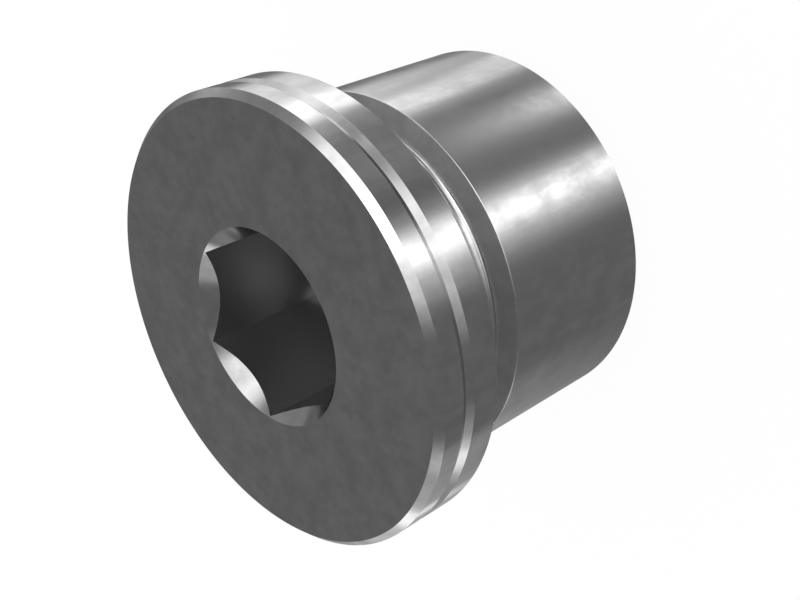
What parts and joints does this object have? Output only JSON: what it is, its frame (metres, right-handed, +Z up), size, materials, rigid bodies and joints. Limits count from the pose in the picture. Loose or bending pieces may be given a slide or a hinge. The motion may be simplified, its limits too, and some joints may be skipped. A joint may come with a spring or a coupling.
{
  "type": "hex socket plug",
  "caption": "Turned steel screw-in plug: flat round head with hexagon socket and grooved rim, recessed sealing neck and smooth cylindrical shank.",
  "frame": {"origin": "middle of the end of the shank, which the plug stands on", "axes": "+Z up the axis of the plug towards the face of the head; two corners of the hexagon socket lie on the X axis and two of its flats face +Y and -Y"},
  "size_m": [0.0318, 0.0318, 0.0235],
  "materials": {
    "steel": "fine-turned and lightly polished bare steel"
  },
  "bodies": {
    "root": {"plug_body": "steel"}
  },
  "joints": []
}
